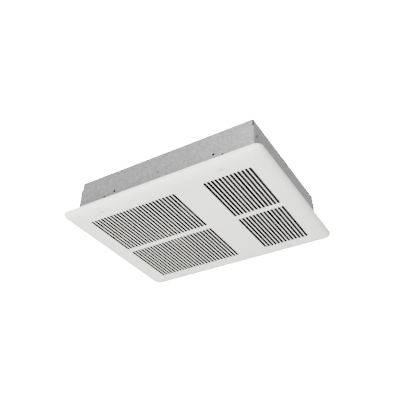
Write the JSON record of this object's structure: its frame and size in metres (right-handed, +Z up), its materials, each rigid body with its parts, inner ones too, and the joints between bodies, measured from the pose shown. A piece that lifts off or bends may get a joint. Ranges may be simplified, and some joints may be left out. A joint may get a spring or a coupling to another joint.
{
  "type": "ceiling mounted fan heater",
  "caption": "Recessed ceiling fan heater: folded steel housing closed by a slotted, curved-edge panel, with motor, fan deck, wiring channel, outlet duct and finned elements inside.",
  "frame": {"origin": "centre of the housing's mouth, in the plane of the ceiling's face", "axes": "+Z up into the ceiling, +X along the long side from the fan towards the outlet duct, +Y towards the wall with the knockouts"},
  "size_m": [0.51, 0.394, 0.1157],
  "materials": {
    "aluminised_sheet": "aluminised steel, satin",
    "black_lead": "black glass-braid sleeve",
    "element_sheath": "heat-darkened steel sheath and fins",
    "fan_aluminium": "pressed sheet, satin",
    "galvanised_sheet": "galvanised, faint spangle, satin",
    "green_screw": "green dyed zinc plate",
    "lamination_steel": "stacked laminations, dark oxide",
    "phenolic": "black moulded phenolic",
    "red_button": "red moulded plastic",
    "red_lead": "red glass-braid sleeve",
    "sintered_bronze": "oiled sintered bronze",
    "taped_winding": "brown insulating tape over the winding",
    "white_powder_coat": "white powder coat, satin, fine orange peel",
    "zinc_plated_steel": "bright zinc plate"
  },
  "bodies": {
    "heater_body": {"bearing_bridge_lower": "zinc_plated_steel", "bearing_bridge_upper": "zinc_plated_steel", "bearing_lower": "sintered_bronze", "bearing_upper": "sintered_bronze", "corner_rivet_left_front": "zinc_plated_steel", "corner_rivet_left_rear": "zinc_plated_steel", "corner_rivet_right_front": "zinc_plated_steel", "corner_rivet_right_rear": "zinc_plated_steel", "cover_screw_1": "zinc_plated_steel", "cover_screw_2": "zinc_plated_steel", "cutout_lead": "black_lead", "deck_rivet_front": "zinc_plated_steel", "deck_rivet_rear": "zinc_plated_steel", "delay_lead": "red_lead", "element_bracket_front": "aluminised_sheet", "element_bracket_rear": "aluminised_sheet", "element_jumper": "black_lead", "element_lead_a": "black_lead", "element_lead_b": "black_lead", "element_left": "element_sheath", "element_right": "element_sheath", "fan_deck": "galvanised_sheet", "fan_delay_switch": "phenolic", "grille_panel": "white_powder_coat", "ground_screw": "green_screw", "housing": "galvanised_sheet", "knockout_slug_1": "galvanised_sheet", "knockout_slug_2": "galvanised_sheet", "motor_coil": "taped_winding", "motor_lead": "red_lead", "motor_lead_return": "red_lead", "motor_nut_left": "zinc_plated_steel", "motor_nut_right": "zinc_plated_steel", "motor_screw_left": "zinc_plated_steel", "motor_screw_right": "zinc_plated_steel", "motor_spacer_left": "zinc_plated_steel", "motor_spacer_right": "zinc_plated_steel", "motor_spider": "zinc_plated_steel", "outlet_duct": "aluminised_sheet", "panel_screw_1": "white_powder_coat", "panel_screw_2": "white_powder_coat", "panel_screw_3": "white_powder_coat", "panel_screw_4": "white_powder_coat", "spider_screw_1": "zinc_plated_steel", "spider_screw_2": "zinc_plated_steel", "spider_screw_3": "zinc_plated_steel", "spider_screw_4": "zinc_plated_steel", "stator_core": "lamination_steel", "terminal_block": "phenolic", "thermal_cutout": "phenolic", "wiring_channel": "galvanised_sheet", "wiring_cover": "galvanised_sheet"},
    "fan_rotor": {"rotor_core": "lamination_steel", "rotor_shaft": "zinc_plated_steel", "fan_bush": "zinc_plated_steel", "fan_blades": "fan_aluminium"},
    "reset": {"reset_button": "red_button"}
  },
  "joints": [
    {"name": "fan_spin", "type": "hinge", "parent": "heater_body", "child": "fan_rotor", "pos_m": [-0.08525, 0, 0.062], "axis": [0, 0, 1], "continuous": true},
    {"name": "reset_press", "type": "slide", "parent": "heater_body", "child": "reset", "axis": [1, 0, 0], "range_m": [0, 0.0015], "stiffness_N_per_m": 500, "springref_m": -0.001}
  ]
}
